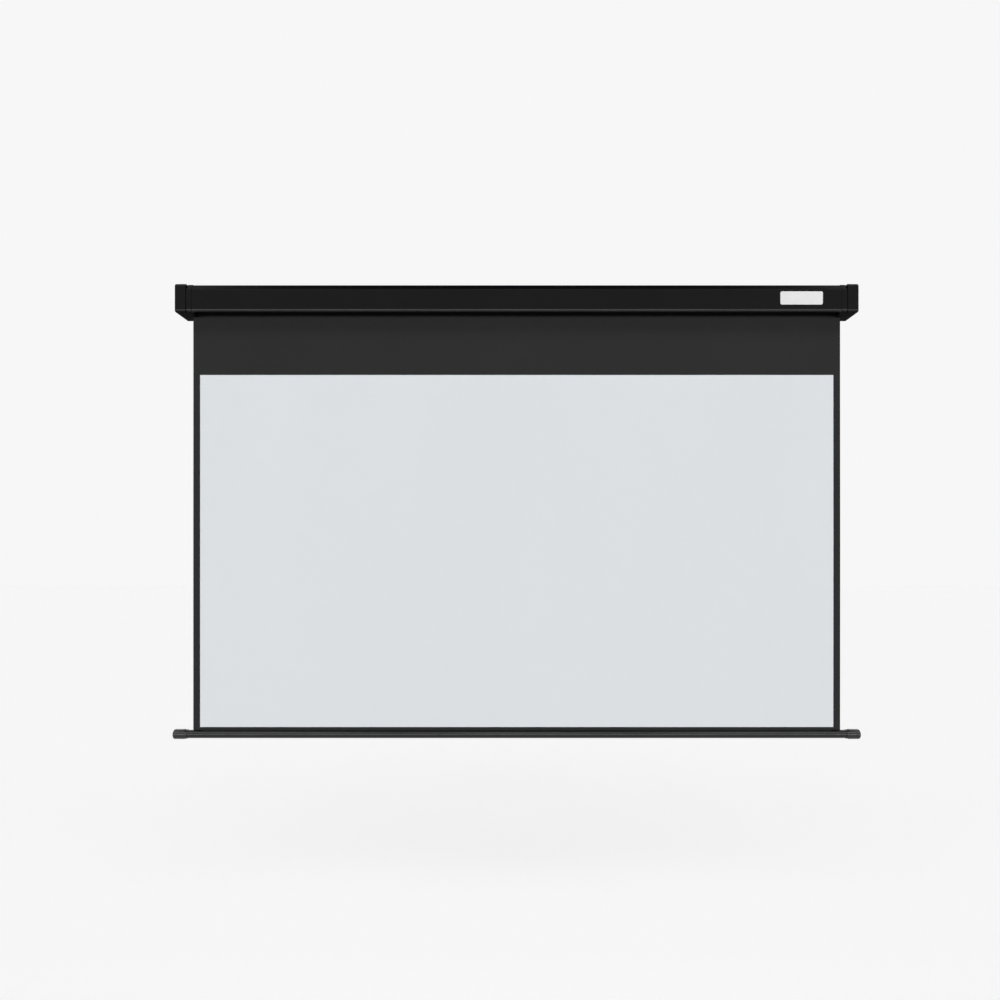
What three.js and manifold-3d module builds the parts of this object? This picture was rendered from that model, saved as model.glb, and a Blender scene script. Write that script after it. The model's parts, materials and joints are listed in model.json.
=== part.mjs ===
// A manual pull-down projection screen, hung on a wall and drawn right down.
// The screen winds onto a spring roller inside a slim steel casing, and a weighted bar hangs in its hem.
// Frame: X runs along the casing, Z is up, and the wall is the plane Y = 0, with the viewer on the -Y side.
// The origin is on the wall plane, level with the roller's axis and midway along the casing.
// Sizes are in millimetres.

import * as THREE from "three";
import { mergeVertices } from "three/addons/utils/BufferGeometryUtils.js";
import Module from "manifold-3d";

const wasm = await Module();
wasm.setup();

// Screen sheet
const VIEW_WIDTH = 1860;
const VIEW_HEIGHT = 1034;
const BORDER_SIDE = 20;
const BORDER_BOTTOM = 8.5; // black margin between the picture and the bar
const DROP_BELOW_CASING = 170; // black leader between the casing and the picture
const SHEET_THICKNESS = 0.45;
const COATING_THICKNESS = 0.25;
const COATING_GAP = 0.05;

// Fits and rounding
const SEAT_GAP = 0.3; // between pieces that rest on or in each other
const RUNNING_GAP = 0.5; // between pieces that move past each other
const OVERRUN = 2; // how far a cutting tool runs past the face that it cuts
const ROUND_FACETS = 36;
const SMALL_ROUND_FACETS = 20;
const SCREW_FACETS = 12;
const BEND_FACETS = 5; // in a right-angled bend

// Roller
const ROLLER_DIAMETER = 36;
const ROLLER_WALL = 1.3;
const ROLLER_SETBACK = 55.5; // axis to wall
const ROLLER_OVERHANG = 6; // tube beyond each edge of the sheet
const WHOLE_WRAPS = 1; // whole turns of sheet still on the roller when it is right down
const WRAP_SPACING = 0.6;
const SPLINE_DIAMETER = 3;
const SPLINE_BOSS_WALL = 1.4;
const GROOVE_MOUTH = 1.4;
const DRIVE_RIB_DEPTH = 2.4;
const DRIVE_RIB_WIDTH = 3;
const DRIVE_RIB_ANGLES = [210, 330]; // degrees round the roller from where the sheet leaves it

// Casing
const CASING_HEIGHT = 80;
const SHELL_THICKNESS = 1.2;
const FRONT_CLEARANCE = 4.2; // full roll to the inside of the front
const TOP_CHAMFER_DEPTH = 10;
const TOP_CHAMFER_HEIGHT = 13;
const CHAMFER_BEND = 6;
const FOOT_CHAMFER_DEPTH = 1.4;
const FOOT_CHAMFER_HEIGHT = 7;
const FOOT_CHAMFER_BEND = 8;
const FOOT_EDGE_BEND = 4;
const BACK_BEND = 4;
const FRONT_LIP = 9.5;
const BACK_LIP = 14;
const HEM_HEIGHT = 6;
const HEM_BEND = 2.2;

// End caps
const CAP_LENGTH = 32;
const CAP_PROUD = 1.2; // how far a cap stands out past the shell
const CAP_WALL = 2.5;
const CAP_EDGE_RADIUS = 4;
const CAP_CORNER_RADIUS = 5;
const CAP_FOOT_RADIUS = 4.5;
const CAP_BROW_RADIUS = 8; // front top edge
const SHEET_SIDE_CLEARANCE = 1;
const SEAM_WIDTH = 2.5;
const COLLAR_LENGTH = 14.5;
const COLLAR_WEB = 2; // joins the collar to the spigot past the shell's end
const SPIGOT_LENGTH = 18;
const SPIGOT_WALL = 2;
const SLOT_TONGUE_SETBACK = 8; // tongue's edge in front of the sheet

// Wall brackets
const BRACKET_THICKNESS = 2;
const BRACKET_HEIGHT = 60;
const BRACKET_BEND = 3;
const BRACKET_NOSE = 15; // from the roller's axis to the plate's front edge
const BRACKET_SHOULDER = 24; // wall to where the plate starts to taper
const BRACKET_CORNER = 5;
const KEYHOLE_DIAMETER = 10;
const KEYHOLE_SLOT = 5;
const KEYHOLE_RISE = 11;
const KEYHOLE_DROP = 8; // round end below the middle of the plate

// Screws
const SCREW_SHANK = 3.5;
const SCREW_HEAD = 7;
const SCREW_HEAD_HEIGHT = 1.6;
const SCREW_RECESS = 6; // head recess in the end face, deep enough to reach past the rounded edge
const END_SCREW_SETBACK = 20;
const END_SCREW_MARGIN = 10; // from the bracket's upper and lower edges
const TOP_SCREW_BACK = 20;
const TOP_SCREW_FRONT = 56;
const SCREW_TIP = 2; // how far a screw's tip shows past what it holds

// Bearings and spring
const SPINDLE_DIAMETER = 8;
const TANG_THICKNESS = 4;
const TANG_LENGTH = 11;
const BUSH_WALL = 2;
const BUSH_FLANGE = 3;
const BUSH_FLANGE_THICKNESS = 1.5;
const PLUG_LENGTH = 24;
const FLANGE_THICKNESS = 2.7;
const FLANGE_WALL = 1.5;
const HUB_WALL = 4.3;
const HUB_THICKNESS = 5;
const NOTCH_CLEARANCE = 0.35;
const PAWL_THICKNESS = 3;
const PAWL_LENGTH = 10;
const PAWL_BOSS_RADIUS = 2.8;
const PAWL_TIP_RADIUS = 1.5;
const PAWL_PIN_DIAMETER = 2.6;
const PAWL_PIN_HEAD = 1.1; // how far the pin's head stands out round it
const PAWL_PIN_HEAD_THICKNESS = 1.2;
const PIVOT_OUTSET = 4.7; // pawl pivot outside the hub
const PAWL_LIFT = 0.7; // clear of the hub when thrown out
const PAWL_DROP = 2.4; // how far the tip falls into a notch
const FIRST_PAWL_ANGLE = 65; // degrees round the roller from the sheet
const SPRING_WIRE = 2.2;
const SPRING_CLEARANCE = 2.4; // spring round its spindle
const SPRING_COILS = 24;
const SPRING_PITCH = 12.5;
const COIL_STEPS = 8;
const WIRE_SIDES = 5;
const ANCHOR_WALL = 6.5;
const ANCHOR_LENGTH = 10;
const SPRING_PLUG_LENGTH = 14;

// Bottom bar
const BAR_DIAMETER = 24;
const BAR_WALL = 1.2;
const BAR_OVERHANG = 23; // bar beyond each end of the casing
const BAR_SLOT = 3;
const BAR_CAP_LENGTH = 40;
const BAR_CAP_WALL = 2.2;
const BAR_CAP_END_WALL = 4;
const BAR_CAP_EDGE = 4;
const BAR_CAP_NECK_LENGTH = 6; // thinner part over the tube at the cap's mouth
const BAR_CAP_NECK_WALL = 1;
const BAR_CAP_SHOULDER = 1.5; // length of the cone from the neck to the full size
const HEM_ROD_DIAMETER = 8;

// Sizes that follow from those above
const sheetWidth = VIEW_WIDTH + 2 * BORDER_SIDE;
const halfSheet = sheetWidth / 2;
const halfHeight = CASING_HEIGHT / 2;
const rollerRadius = ROLLER_DIAMETER / 2;
const tubeBore = rollerRadius - ROLLER_WALL;
const rollerY = -ROLLER_SETBACK;
const wrapTurns = WHOLE_WRAPS + 1 / 4; // the groove is on top, a quarter turn past where the sheet leaves
const tangentRadius = rollerRadius + SEAT_GAP + SHEET_THICKNESS / 2 + wrapTurns * WRAP_SPACING;
const sheetY = rollerY + tangentRadius;
const barRadius = BAR_DIAMETER / 2;
const barZ = -(halfHeight + DROP_BELOW_CASING + VIEW_HEIGHT + BORDER_BOTTOM + barRadius);
const fullRoll = Math.hypot(tangentRadius, Math.sqrt((-barZ * SHEET_THICKNESS) / Math.PI));
const casingDepth = ROLLER_SETBACK + fullRoll + FRONT_CLEARANCE + SHELL_THICKNESS;
const capInner = halfSheet + SHEET_SIDE_CLEARANCE;
const capOuter = capInner + CAP_LENGTH;
const collarOuter = capInner - SEAM_WIDTH;
const collarInner = collarOuter - COLLAR_LENGTH;
const halfShell = collarOuter - COLLAR_WEB - SEAT_GAP;
const halfTube = halfSheet + ROLLER_OVERHANG;
const plateOuter = capOuter - CAP_WALL - SEAT_GAP;
const plateInner = plateOuter - BRACKET_THICKNESS;
const spindleRadius = SPINDLE_DIAMETER / 2;
const hubRadius = spindleRadius + SEAT_GAP + HUB_WALL;
const pivotRadius = hubRadius + PIVOT_OUTSET;
const cupBore = pivotRadius + PAWL_BOSS_RADIUS + RUNNING_GAP;
const flangeInner = halfTube + SEAT_GAP;
const flangeOuter = flangeInner + FLANGE_THICKNESS;
const hubInner = flangeOuter + RUNNING_GAP;
const screwHole = SCREW_SHANK / 2 + SEAT_GAP;
const barCapRadius = barRadius + SEAT_GAP + BAR_CAP_WALL;
const halfBar = capOuter + BAR_OVERHANG;

// Materials
const paint = (color, roughness, metalness) =>
  new THREE.MeshStandardMaterial({ color, roughness, metalness });
const blackPaint = paint(0x1f1f21, 0.5, 0.1);
const blackPlastic = paint(0x1c1c1e, 0.55, 0);
const blackSheet = paint(0x303030, 0.8, 0);
const whiteSheet = paint(0xdadee1, 0.9, 0);
const zincSteel = paint(0x9a9c9e, 0.4, 0.9);
const springSteel = paint(0x5c5e62, 0.35, 0.9);
const aluminium = paint(0xa9abae, 0.4, 0.9);
const nylon = paint(0xd8d6cc, 0.6, 0);
const blackTube = paint(0x242427, 0.35, 0.3);

// A closed geometry as a solid, with its faces turned out if they face in.
function solid(geometry) {
  const bare = geometry.index ? geometry.toNonIndexed() : geometry.clone();
  const points = new THREE.BufferGeometry().setAttribute("position", bare.getAttribute("position"));
  const merged = mergeVertices(points);
  const make = (triVerts) =>
    new wasm.Manifold(
      new wasm.Mesh({ numProp: 3, vertProperties: merged.attributes.position.array, triVerts }),
    );
  const triangles = new Uint32Array(merged.index.array);
  const made = make(triangles);
  return made.volume() < 0 ? make(triangles.reverse()) : made;
}

function geometryOf(made) {
  const mesh = made.getMesh();
  const positions = new Float32Array(mesh.numVert * 3);
  for (let i = 0; i < mesh.numVert; i++) {
    const start = i * mesh.numProp;
    positions.set(mesh.vertProperties.subarray(start, start + 3), i * 3);
  }
  const geometry = new THREE.BufferGeometry();
  geometry.setAttribute("position", new THREE.BufferAttribute(positions, 3));
  geometry.setIndex(new THREE.BufferAttribute(mesh.triVerts, 1));
  return geometry;
}

const join = (first, ...others) =>
  geometryOf(others.reduce((all, one) => all.add(solid(one)), solid(first)));
const cut = (first, ...tools) =>
  geometryOf(tools.reduce((left, one) => left.subtract(solid(one)), solid(first)));
const common = (first, second) => geometryOf(solid(first).intersect(solid(second)));

// The same piece on the other side of the plane X = 0.
function mirrored(geometry) {
  return geometryOf(solid(geometry.clone().scale(-1, 1, 1)));
}

const block = (x0, x1, y0, y1, z0, z1) =>
  new THREE.BoxGeometry(x1 - x0, y1 - y0, z1 - z0)
    .translate((x0 + x1) / 2, (y0 + y1) / 2, (z0 + z1) / 2);

// Which way an extruded outline's first, second and depth directions point.
const X = new THREE.Vector3(1, 0, 0);
const Y = new THREE.Vector3(0, 1, 0);
const Z = new THREE.Vector3(0, 0, 1);
function extruded(shape, from, to, across, up, along) {
  const geometry = new THREE.ExtrudeGeometry(shape, {
    depth: to - from,
    bevelEnabled: false,
    curveSegments: SMALL_ROUND_FACETS,
  });
  geometry.translate(0, 0, from);
  return geometry.applyMatrix4(new THREE.Matrix4().makeBasis(across, up, along));
}
// The outline is in (Y, Z), (X, Z) or (X, Y) in turn.
const alongX = (shape, from, to) => extruded(shape, from, to, Y, Z, X);
const alongY = (shape, from, to) => extruded(shape, -to, -from, X, Z, Y.clone().negate());
const alongZ = (shape, from, to) => extruded(shape, from, to, X, Y, Z);

// A solid of revolution about a line along X: profile points are [radius, x].
function turned(profile, facets = ROUND_FACETS, y = 0, z = 0) {
  const points = profile.map(([radius, x]) => new THREE.Vector2(radius, x));
  const geometry = new THREE.LatheGeometry(points, facets);
  return geometry.rotateZ(-Math.PI / 2).translate(0, y, z);
}
const rod = (radius, x0, x1, facets = ROUND_FACETS, y = 0, z = 0) =>
  turned([[0, x0], [radius, x0], [radius, x1], [0, x1]], facets, y, z);
const ring = (bore, radius, x0, x1, facets = ROUND_FACETS) =>
  turned([[bore, x0], [radius, x0], [radius, x1], [bore, x1], [bore, x0]], facets);

// Points along an arc, from one angle to another.
function arc(radius, from, to, facets, across = 0, up = 0) {
  const points = [];
  for (let k = 0; k <= facets; k++) {
    const angle = from + ((to - from) * k) / facets;
    points.push(new THREE.Vector2(across + radius * Math.cos(angle), up + radius * Math.sin(angle)));
  }
  return points;
}
const round = (radius, across, up) =>
  outline(arc(radius, 0, 2 * Math.PI, SMALL_ROUND_FACETS, across, up).slice(0, -1));

// Samples of a path with rounded corners [a, b, radius]: each has its point and the normal on its left.
function roundedPath(corners, closed = false) {
  const bendFacets = (turn) => Math.max(1, Math.round((BEND_FACETS * Math.abs(turn)) / (Math.PI / 2)));
  const at = (i) => corners[(i + corners.length) % corners.length];
  const step = (from, to) => new THREE.Vector2(to[0] - from[0], to[1] - from[1]).normalize();
  const samples = [];
  corners.forEach(([a, b, radius = 0], i) => {
    const first = !closed && i === 0;
    const last = !closed && i === corners.length - 1;
    const coming = first ? step(at(i), at(i + 1)) : step(at(i - 1), at(i));
    const going = last ? coming : step(at(i), at(i + 1));
    const turn = Math.atan2(coming.cross(going), coming.dot(going));
    const reach = radius * Math.tan(Math.abs(turn) / 2);
    const side = Math.sign(turn) || 1;
    const facets = radius > 0 ? bendFacets(turn) : 0;
    const left = new THREE.Vector2(-coming.y, coming.x);
    const start = new THREE.Vector2(a, b).addScaledVector(coming, -reach);
    const centre = start.clone().addScaledVector(left, side * radius);
    for (let k = 0; k <= facets; k++) {
      const normal = left.clone().rotateAround(new THREE.Vector2(), facets ? (turn * k) / facets : 0);
      const point = new THREE.Vector2(a, b);
      if (facets) point.copy(centre).addScaledVector(normal, -side * radius);
      samples.push({ point, normal });
    }
  });
  return samples;
}

const offset = (samples, distance) =>
  samples.map(({ point, normal }) => point.clone().addScaledVector(normal, distance));
const outline = (points) => new THREE.Shape(points);
// The band between two offsets of a path, such as a bent strip of sheet metal.
const band = (samples, inner, outer) =>
  outline([...offset(samples, outer), ...offset(samples, inner).reverse()]);

// A solid through outlines with as many points each, at their own places along X.
function loft(rings) {
  const anticlockwise = (points) => (THREE.ShapeUtils.isClockWise(points) ? points.toReversed() : points);
  const sections = rings.map(({ x, points }) => ({ x, points: anticlockwise(points) }));
  const count = sections[0].points.length;
  const positions = sections.flatMap(({ x, points }) => points.flatMap((p) => [x, p.x, p.y]));
  const index = [];
  for (let s = 0; s + 1 < sections.length; s++) {
    for (let i = 0; i < count; i++) {
      const a = s * count + i;
      const b = s * count + ((i + 1) % count);
      index.push(a, b, a + count, b, b + count, a + count);
    }
  }
  const last = (sections.length - 1) * count;
  for (const [a, b, c] of THREE.ShapeUtils.triangulateShape(sections[0].points, [])) index.push(c, b, a);
  for (const [a, b, c] of THREE.ShapeUtils.triangulateShape(sections.at(-1).points, [])) {
    index.push(last + a, last + b, last + c);
  }
  const geometry = new THREE.BufferGeometry();
  geometry.setAttribute("position", new THREE.Float32BufferAttribute(positions, 3));
  geometry.setIndex(index);
  return geometry;
}

// The casing's outside line, from the front lip over the top to the back lip, in (Y, Z).
const casingLine = [
  [-casingDepth + FRONT_LIP, -halfHeight],
  [-casingDepth + FOOT_CHAMFER_DEPTH, -halfHeight, FOOT_EDGE_BEND],
  [-casingDepth, -halfHeight + FOOT_CHAMFER_HEIGHT, FOOT_CHAMFER_BEND],
  [-casingDepth, halfHeight - TOP_CHAMFER_HEIGHT, CHAMFER_BEND],
  [-casingDepth + TOP_CHAMFER_DEPTH, halfHeight, CHAMFER_BEND],
  [0, halfHeight, BACK_BEND],
  [0, -halfHeight, BACK_BEND],
  [-BACK_LIP, -halfHeight],
];

function casingShell() {
  const withHems = [
    [-casingDepth + FRONT_LIP, -halfHeight + HEM_HEIGHT],
    [...casingLine[0], HEM_BEND],
    ...casingLine.slice(1, -1),
    [...casingLine.at(-1), HEM_BEND],
    [-BACK_LIP, -halfHeight + HEM_HEIGHT],
  ];
  const strip = alongX(band(roundedPath(withHems), -SHELL_THICKNESS, 0), -halfShell, halfShell);
  const holes = topScrewPlaces().map(topScrewHole);
  return cut(strip, ...holes, ...holes.map(mirrored));
}

const collarMiddle = (collarInner + collarOuter) / 2;
const topScrewPlaces = () => [-TOP_SCREW_BACK, -TOP_SCREW_FRONT];
const endScrewPlaces = () => [-1, 1].map((side) => side * (BRACKET_HEIGHT / 2 - END_SCREW_MARGIN));
const topFace = halfHeight + CAP_PROUD;
const spigotInside = halfHeight - SHELL_THICKNESS - SEAT_GAP - SPIGOT_WALL;

function topScrewHole(y) {
  return alongZ(round(screwHole, collarMiddle, y), spigotInside - OVERRUN, topFace + OVERRUN);
}

function endScrewHole(z) {
  return alongX(round(screwHole, -END_SCREW_SETBACK, z), plateInner - OVERRUN, capOuter + OVERRUN);
}

function endScrewRecess(z) {
  const floor = capOuter - SCREW_HEAD_HEIGHT;
  const radius = SCREW_HEAD / 2 + RUNNING_GAP;
  return alongX(round(radius, -END_SCREW_SETBACK, z), floor, capOuter + SCREW_RECESS);
}

// The right-hand end cap: a hollow block with a collar over the shell and a spigot inside it.
function endCap() {
  const front = -casingDepth - CAP_PROUD;
  const blockLine = roundedPath(
    [
      [front + FOOT_CHAMFER_DEPTH, -topFace, CAP_FOOT_RADIUS],
      [front, -topFace + FOOT_CHAMFER_HEIGHT, FOOT_CHAMFER_BEND],
      [front, topFace, CAP_BROW_RADIUS],
      [0, topFace, CAP_CORNER_RADIUS],
      [0, -topFace, CAP_CORNER_RADIUS],
    ],
    true,
  );
  const section = (x, inset) => ({ x, points: offset(blockLine, -inset) });
  const edge = [];
  for (let k = 0; k <= BEND_FACETS; k++) {
    const angle = (k / BEND_FACETS) * (Math.PI / 2);
    const inset = CAP_EDGE_RADIUS * (1 - Math.cos(angle));
    edge.push(section(capOuter - CAP_EDGE_RADIUS * (1 - Math.sin(angle)), inset));
  }
  const body = loft([section(capInner, 0), ...edge]);
  const hollow = alongX(outline(offset(blockLine, -CAP_WALL)), capInner + CAP_WALL, capOuter - CAP_WALL);
  const line = roundedPath(casingLine);
  const shellInside = -SHELL_THICKNESS - SEAT_GAP;
  const collar = alongX(band(line, SEAT_GAP, CAP_PROUD), collarInner, collarOuter);
  const webInner = collarOuter - COLLAR_WEB;
  const neck = alongX(band(line, shellInside - SPIGOT_WALL, 0), webInner, capInner + CAP_WALL);
  const web = alongX(band(line, shellInside, CAP_PROUD), webInner, collarOuter);
  const inside = roundedPath([
    [-casingDepth, -halfHeight + FRONT_LIP],
    ...casingLine.slice(3, 6),
    [0, -halfHeight + BACK_LIP],
  ]);
  const spigot = alongX(
    band(inside, shellInside - SPIGOT_WALL, shellInside),
    collarOuter - SPIGOT_LENGTH,
    collarOuter,
  );
  const innerOpening = alongX(
    outline(offset(roundedPath(closedCasingLine(), true), shellInside - SPIGOT_WALL)),
    collarInner - OVERRUN,
    capInner + CAP_WALL + OVERRUN,
  );
  const window = block(
    capInner + CAP_WALL,
    capOuter - CAP_WALL,
    -CAP_WALL - OVERRUN,
    OVERRUN,
    -BRACKET_HEIGHT / 2 - SEAT_GAP,
    BRACKET_HEIGHT / 2 + SEAT_GAP,
  );
  const pastWall = block(
    collarInner - OVERRUN,
    capOuter + OVERRUN,
    0,
    CAP_PROUD + OVERRUN,
    -topFace - OVERRUN,
    topFace + OVERRUN,
  );
  return cut(
    join(cut(join(body, neck), innerOpening), collar, web, spigot, slotTongue()),
    hollow,
    window,
    pastWall,
    ...topScrewPlaces().map(topScrewHole),
    ...endScrewPlaces().flatMap((z) => [endScrewHole(z), endScrewRecess(z)]),
  );
}

// The casing's outside line closed straight across its slot.
function closedCasingLine() {
  return casingLine.slice(1, -1);
}

// A tongue that reaches in from the collar and closes the end of the slot in front of the sheet.
function slotTongue() {
  const lipEnd = -casingDepth + FRONT_LIP;
  const back = sheetY - SLOT_TONGUE_SETBACK;
  const section = outline([
    new THREE.Vector2(lipEnd - CAP_WALL, -topFace),
    new THREE.Vector2(back, -topFace),
    new THREE.Vector2(back, -halfHeight + CAP_WALL),
    new THREE.Vector2(lipEnd + SEAT_GAP, -halfHeight + CAP_WALL),
    new THREE.Vector2(lipEnd + SEAT_GAP, -halfHeight - SEAT_GAP),
    new THREE.Vector2(lipEnd - CAP_WALL, -halfHeight - SEAT_GAP),
  ]);
  return alongX(section, collarInner, capInner + CAP_WALL);
}

// An L of steel plate: one leg lies on the wall with its keyhole, and the other carries the roller.
function wallBracket(bearing) {
  const bent = roundedPath([
    [capInner + CAP_WALL + SEAT_GAP, 0],
    [plateOuter, 0, BRACKET_BEND],
    [plateOuter, rollerY - BRACKET_NOSE],
  ]);
  const strip = alongZ(band(bent, -BRACKET_THICKNESS, 0), -BRACKET_HEIGHT / 2, BRACKET_HEIGHT / 2);
  const side = roundedPath(
    [
      [OVERRUN, BRACKET_HEIGHT / 2],
      [-BRACKET_SHOULDER, BRACKET_HEIGHT / 2, BRACKET_CORNER],
      [rollerY - BRACKET_NOSE, BRACKET_NOSE, BRACKET_CORNER],
      [rollerY - BRACKET_NOSE, -BRACKET_NOSE, BRACKET_CORNER],
      [-BRACKET_SHOULDER, -BRACKET_HEIGHT / 2, BRACKET_CORNER],
      [OVERRUN, -BRACKET_HEIGHT / 2],
    ],
    true,
  );
  const plate = common(strip, alongX(outline(offset(side, 0)), capInner, capOuter));
  return cut(plate, keyhole(), bearing, ...endScrewPlaces().map(endScrewHole));
}

const keyholeX = (capInner + CAP_WALL + SEAT_GAP + plateInner) / 2;
function keyhole() {
  const wide = round(KEYHOLE_DIAMETER / 2, keyholeX, -KEYHOLE_DROP);
  const slot = outline([
    ...arc(KEYHOLE_SLOT / 2, 0, Math.PI, BEND_FACETS * 2, keyholeX, KEYHOLE_RISE - KEYHOLE_DROP),
    new THREE.Vector2(keyholeX - KEYHOLE_SLOT / 2, -KEYHOLE_DROP),
    new THREE.Vector2(keyholeX + KEYHOLE_SLOT / 2, -KEYHOLE_DROP),
  ]);
  return join(
    alongY(wide, -BRACKET_THICKNESS - OVERRUN, OVERRUN),
    alongY(slot, -BRACKET_THICKNESS - OVERRUN, OVERRUN),
  );
}

// A pan-head screw along X, with its head at the outer end.
function screw(seat, tip) {
  const head = turned(
    [
      [0, seat],
      [SCREW_HEAD / 2, seat],
      [SCREW_HEAD / 2, seat + SCREW_HEAD_HEIGHT / 2],
      [SCREW_HEAD / 4, seat + SCREW_HEAD_HEIGHT],
      [0, seat + SCREW_HEAD_HEIGHT],
    ],
    SCREW_FACETS,
  );
  return join(head, rod(SCREW_SHANK / 2, tip, seat + SEAT_GAP, SCREW_FACETS));
}

// Holds the cap's end face to the bracket.
const endScrew = () => screw(capOuter - SCREW_HEAD_HEIGHT + SEAT_GAP / 2, plateInner - SCREW_TIP);
// Stands up through the collar, shell and spigot, about its own axis.
const topScrew = () => screw(topFace + SEAT_GAP / 2, spigotInside - SCREW_TIP).rotateY(-Math.PI / 2);

const bushRadius = spindleRadius + RUNNING_GAP / 2 + BUSH_WALL;
function idlerBearing() {
  const hole = round(bushRadius + SEAT_GAP, rollerY, 0);
  return alongX(hole, plateInner - OVERRUN, plateOuter + OVERRUN);
}

function tangSlot() {
  const width = SPINDLE_DIAMETER / 2 + SEAT_GAP;
  const thickness = TANG_THICKNESS / 2 + SEAT_GAP;
  const [x0, x1] = [plateInner - OVERRUN, plateOuter + OVERRUN];
  return block(x0, x1, -thickness, thickness, -width, width).translate(0, rollerY, 0);
}

// Everything below that turns or sits on the roller's axis is drawn about Y = Z = 0 and placed by its group.

function rollerTube() {
  const wall = ring(tubeBore, rollerRadius, -halfTube, halfTube);
  const pocket = SPLINE_DIAMETER / 2 + SEAT_GAP;
  const boss = common(
    alongX(round(pocket + SPLINE_BOSS_WALL, 0, splineRadius), -halfTube, halfTube),
    rod(rollerRadius - ROLLER_WALL / 2, -halfTube, halfTube),
  );
  const ribs = DRIVE_RIB_ANGLES.map((angle) => driveRib(angle, 0, -halfTube, halfTube));
  const groove = alongX(round(pocket, 0, splineRadius), -halfTube - OVERRUN, halfTube + OVERRUN);
  const mouth = block(
    -halfTube - OVERRUN,
    halfTube + OVERRUN,
    -GROOVE_MOUTH / 2,
    GROOVE_MOUTH / 2,
    splineRadius,
    rollerRadius + OVERRUN,
  );
  return cut(join(wall, boss, ...ribs), groove, mouth);
}

const splineRadius = rollerRadius - ROLLER_WALL - SPLINE_DIAMETER / 2;

// A rib inside the tube, which turns the plugs. With a gap it is the slot for one.
function driveRib(degrees, gap, x0, x1) {
  const half = DRIVE_RIB_WIDTH / 2 + gap;
  const inner = tubeBore - DRIVE_RIB_DEPTH - gap;
  const outer = rollerRadius - ROLLER_WALL / 2;
  return block(x0, x1, inner, outer, -half, half).rotateX(THREE.MathUtils.degToRad(degrees));
}

// A plug that fits the tube's bore, with slots for the ribs and the groove's boss.
function tubePlug(x0, x1, bore) {
  const body = ring(bore, tubeBore - SEAT_GAP, x0, x1);
  const bossRoom = SPLINE_DIAMETER / 2 + 2 * SEAT_GAP + SPLINE_BOSS_WALL;
  return cut(
    body,
    alongX(round(bossRoom, 0, splineRadius), x0 - OVERRUN, x1 + OVERRUN),
    ...DRIVE_RIB_ANGLES.map((angle) => driveRib(angle, SEAT_GAP, x0 - OVERRUN, x1 + OVERRUN)),
  );
}

function idlerPlug() {
  const plug = tubePlug(halfTube - PLUG_LENGTH, flangeInner, spindleRadius + SEAT_GAP);
  return join(plug, ring(spindleRadius + SEAT_GAP, rollerRadius, flangeInner, flangeOuter));
}

// The plug at the spring end turns on the spindle, and its rimmed cup carries the two pawls.
function ratchetPlug() {
  const bore = spindleRadius + RUNNING_GAP;
  const plug = tubePlug(halfTube - PLUG_LENGTH, flangeInner, bore);
  const cup = ring(bore, cupBore + FLANGE_WALL, flangeInner, flangeOuter);
  const rim = ring(cupBore, cupBore + FLANGE_WALL, flangeOuter, flangeOuter + HUB_THICKNESS);
  const pinHoles = pawlAngles.map((degrees) => {
    const [y, z] = pivotAt(degrees);
    return rod(pinHole, flangeInner - PAWL_THICKNESS, flangeOuter + OVERRUN, SMALL_ROUND_FACETS, y, z);
  });
  return cut(join(plug, cup, rim), ...pinHoles);
}

const pinHole = PAWL_PIN_DIAMETER / 2 + SEAT_GAP;
const pawlAngles = [FIRST_PAWL_ANGLE, FIRST_PAWL_ANGLE + 180];
function pivotAt(degrees) {
  const angle = THREE.MathUtils.degToRad(degrees);
  return [pivotRadius * Math.cos(angle), pivotRadius * Math.sin(angle)];
}

// The angle at a pawl's pivot between the roller's axis and the pawl, dropped in a notch or thrown out.
const droppedRadius = hubRadius + PAWL_TIP_RADIUS - PAWL_DROP;
const droppedAngle = Math.acos(
  (pivotRadius ** 2 + PAWL_LENGTH ** 2 - droppedRadius ** 2) / (2 * pivotRadius * PAWL_LENGTH),
);
const pawlMiddleWidth = (PAWL_BOSS_RADIUS + PAWL_TIP_RADIUS) / 2;
const thrownAngle = Math.asin((hubRadius + PAWL_LIFT + pawlMiddleWidth) / pivotRadius);

// A tapered lever from its pivot at the origin to its tip, which points along +Y, in (Y, Z).
function pawlOutline() {
  const lean = Math.asin((PAWL_BOSS_RADIUS - PAWL_TIP_RADIUS) / PAWL_LENGTH);
  return outline([
    ...arc(PAWL_BOSS_RADIUS, Math.PI / 2 - lean, 1.5 * Math.PI + lean, BEND_FACETS * 2),
    ...arc(PAWL_TIP_RADIUS, -Math.PI / 2 + lean, Math.PI / 2 - lean, BEND_FACETS * 2, PAWL_LENGTH),
  ]);
}

// Turns something drawn along a pawl into its place on the roller.
function toPawl(geometry, degrees, swing) {
  const [y, z] = pivotAt(degrees);
  return geometry.rotateX(THREE.MathUtils.degToRad(degrees) + Math.PI - swing).translate(0, y, z);
}

const pawlInner = flangeOuter + RUNNING_GAP;
function pawl(degrees) {
  const lever = cut(
    alongX(pawlOutline(), pawlInner, pawlInner + PAWL_THICKNESS),
    rod(pinHole, pawlInner - OVERRUN, pawlInner + PAWL_THICKNESS + OVERRUN, SMALL_ROUND_FACETS),
  );
  return toPawl(lever, degrees, thrownAngle);
}

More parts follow.
